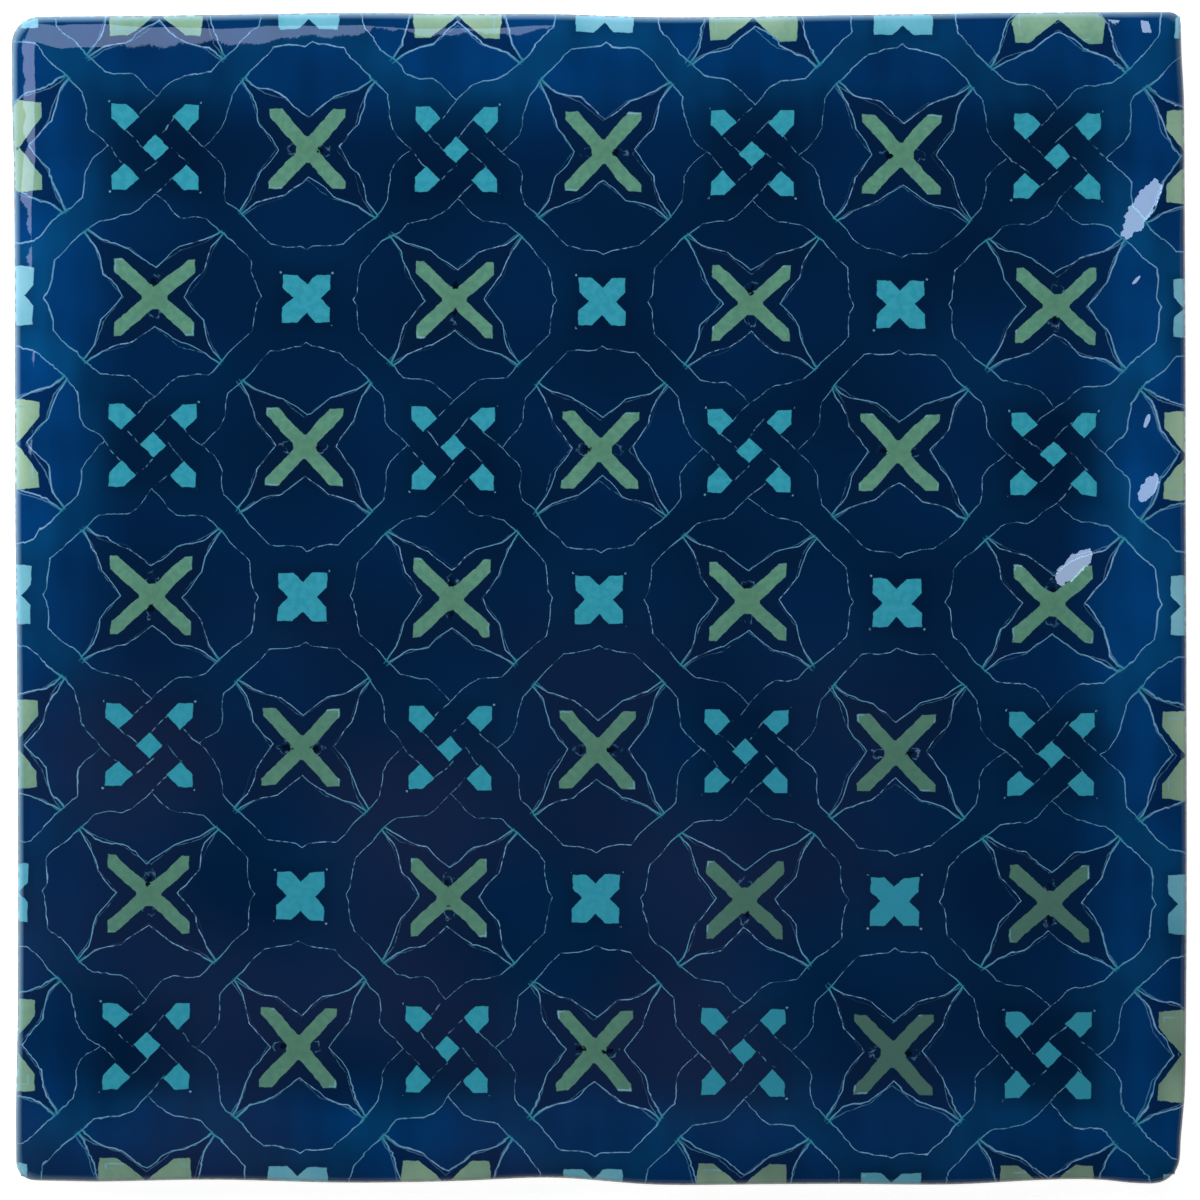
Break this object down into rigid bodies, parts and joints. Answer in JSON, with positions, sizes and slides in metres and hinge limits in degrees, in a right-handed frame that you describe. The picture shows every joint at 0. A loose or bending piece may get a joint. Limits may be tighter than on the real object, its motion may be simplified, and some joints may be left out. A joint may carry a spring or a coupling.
{
  "type": "ceramic wall tile",
  "caption": "Hand-made square glazed wall tile, dark blue with a traditional interlaced geometric pattern in green and turquoise, rolled edges and a keyed flat back.",
  "frame": {"origin": "middle of the outline, on the plane of the back", "axes": "+Z out of the glazed face, +Y towards the top edge of the pattern, +X to its right"},
  "size_m": [0.15, 0.1497, 0.01],
  "materials": {
    "glazed_earthenware": "gloss glaze"
  },
  "bodies": {
    "root": {"glazed_tile": "glazed_earthenware"}
  },
  "joints": []
}
